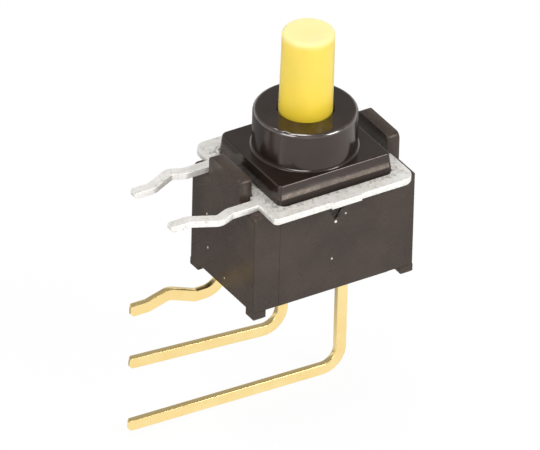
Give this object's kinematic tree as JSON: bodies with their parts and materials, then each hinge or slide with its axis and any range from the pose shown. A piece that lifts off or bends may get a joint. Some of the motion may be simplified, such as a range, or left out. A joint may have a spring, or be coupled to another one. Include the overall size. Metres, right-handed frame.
{
  "type": "momentary pushbutton switch",
  "caption": "Small right-angle momentary pushbutton for a circuit board: capped plunger in a round bushing, sheet bracket with board legs, and a row of angled leads.",
  "frame": {"origin": "on the plunger axis, at the cover's top face, where the bushing rises", "axes": "+Z along the bushing, outward, against the direction of a press; -X toward the circuit board, the way the leads and bracket legs point; the lead row lies on the +Y side"},
  "size_m": [0.0097, 0.0059, 0.0158],
  "materials": {
    "base_plastic": "semi-matte moulded thermoplastic, warm black",
    "cover_plastic": "glossy moulded thermoplastic, black",
    "tinned_sheet": "bright tin plating on stamped sheet",
    "gold_plating": "gold plating on stamped copper alloy",
    "cap_plastic": "satin yellow moulded cap",
    "inner_plastic": "natural moulded plastic",
    "seal_rubber": "nitrile rubber",
    "sealant": "cast epoxy",
    "spring_steel": "drawn stainless wire and sheet"
  },
  "bodies": {
    "housing": {"base": "base_plastic", "bracket": "tinned_sheet", "cover": "cover_plastic", "shaft_seal": "seal_rubber", "seal_retainer": "spring_steel", "upper_lead": "gold_plating", "common_lead": "gold_plating", "lower_lead": "gold_plating", "lead_seal": "sealant", "return_spring": "spring_steel"},
    "plunger": {"plunger": "inner_plastic", "cap": "cap_plastic", "contact_carrier": "inner_plastic", "contact_clip": "gold_plating"}
  },
  "joints": [
    {"name": "press", "type": "slide", "parent": "housing", "child": "plunger", "axis": [0, 0, -1], "range_m": [0, 0.001], "stiffness_N_per_m": 700, "springref_m": -0.001, "deforming": ["return_spring"]}
  ]
}
